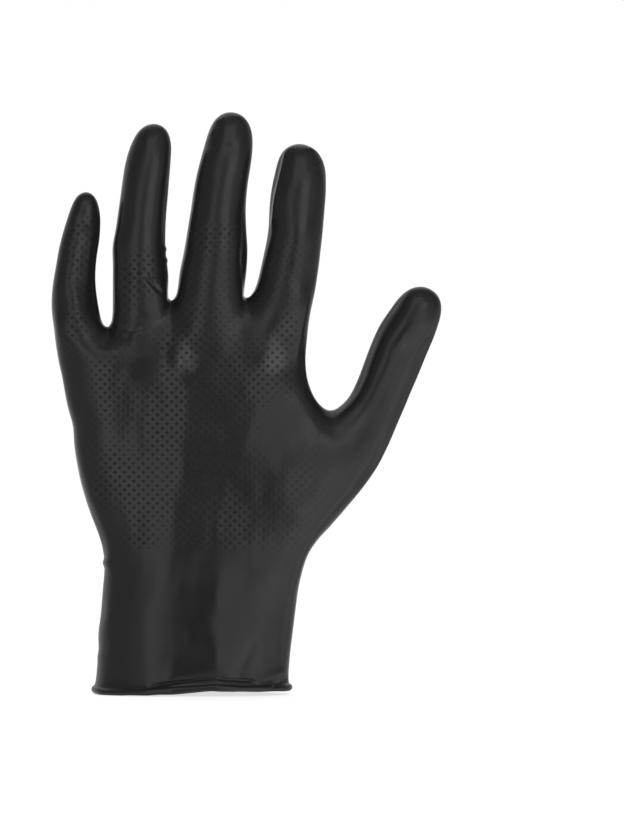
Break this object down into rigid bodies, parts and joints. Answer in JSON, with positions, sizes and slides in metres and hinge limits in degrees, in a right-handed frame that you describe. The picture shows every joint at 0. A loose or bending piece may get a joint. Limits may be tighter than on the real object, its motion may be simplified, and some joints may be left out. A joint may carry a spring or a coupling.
{
  "type": "nitrile exam glove",
  "caption": "Black nitrile glove for a left hand in its worn shape, hollow and open at the cuff, with a fine diamond grip on palm and back and a rolled cuff bead.",
  "frame": {"origin": "middle of the open cuff, level with its lower edge, where the wrist goes in", "axes": "+Z from the cuff to the fingertips, +Y out of the palm side, +X towards the thumb"},
  "size_m": [0.1619, 0.0444, 0.24],
  "materials": {
    "nitrile_film": "satin black nitrile film"
  },
  "bodies": {
    "root": {"glove_shell": "nitrile_film"}
  },
  "joints": []
}
